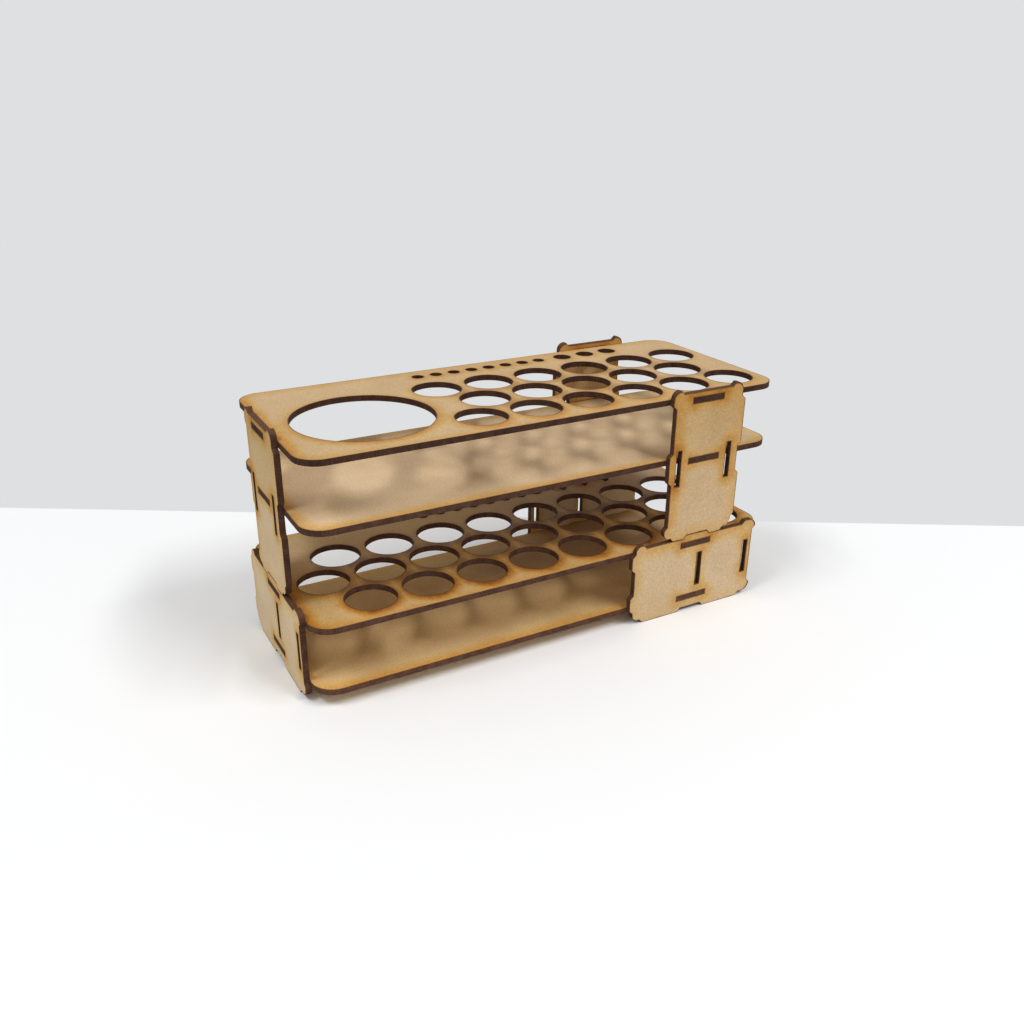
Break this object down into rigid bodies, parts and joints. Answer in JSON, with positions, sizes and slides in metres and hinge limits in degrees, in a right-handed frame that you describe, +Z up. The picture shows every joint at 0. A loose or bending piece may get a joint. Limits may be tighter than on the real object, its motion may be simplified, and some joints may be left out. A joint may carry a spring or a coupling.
{
  "type": "hobby workstation organizer",
  "caption": "Tiered rack of laser-cut board with round holes for paint bottles, brushes and a water jar, on slotted side panels joined by tabs.",
  "frame": {"origin": "middle of the rack's length and width, at table level", "axes": "+X along the rack to the end that has no panel, +Y to the rear row of brush holes, +Z up"},
  "size_m": [0.27, 0.114, 0.1305],
  "materials": {
    "mdf": "bare laser-cut fibreboard, matt, with charred edges"
  },
  "bodies": {
    "root": {"base_plate": "mdf", "lower_hole_plate": "mdf", "upper_floor": "mdf", "top_hole_plate": "mdf", "front_lower_panel": "mdf", "front_upper_panel": "mdf", "left_lower_panel": "mdf", "left_upper_panel": "mdf", "rear_lower_panel": "mdf", "rear_upper_panel": "mdf"}
  },
  "joints": []
}
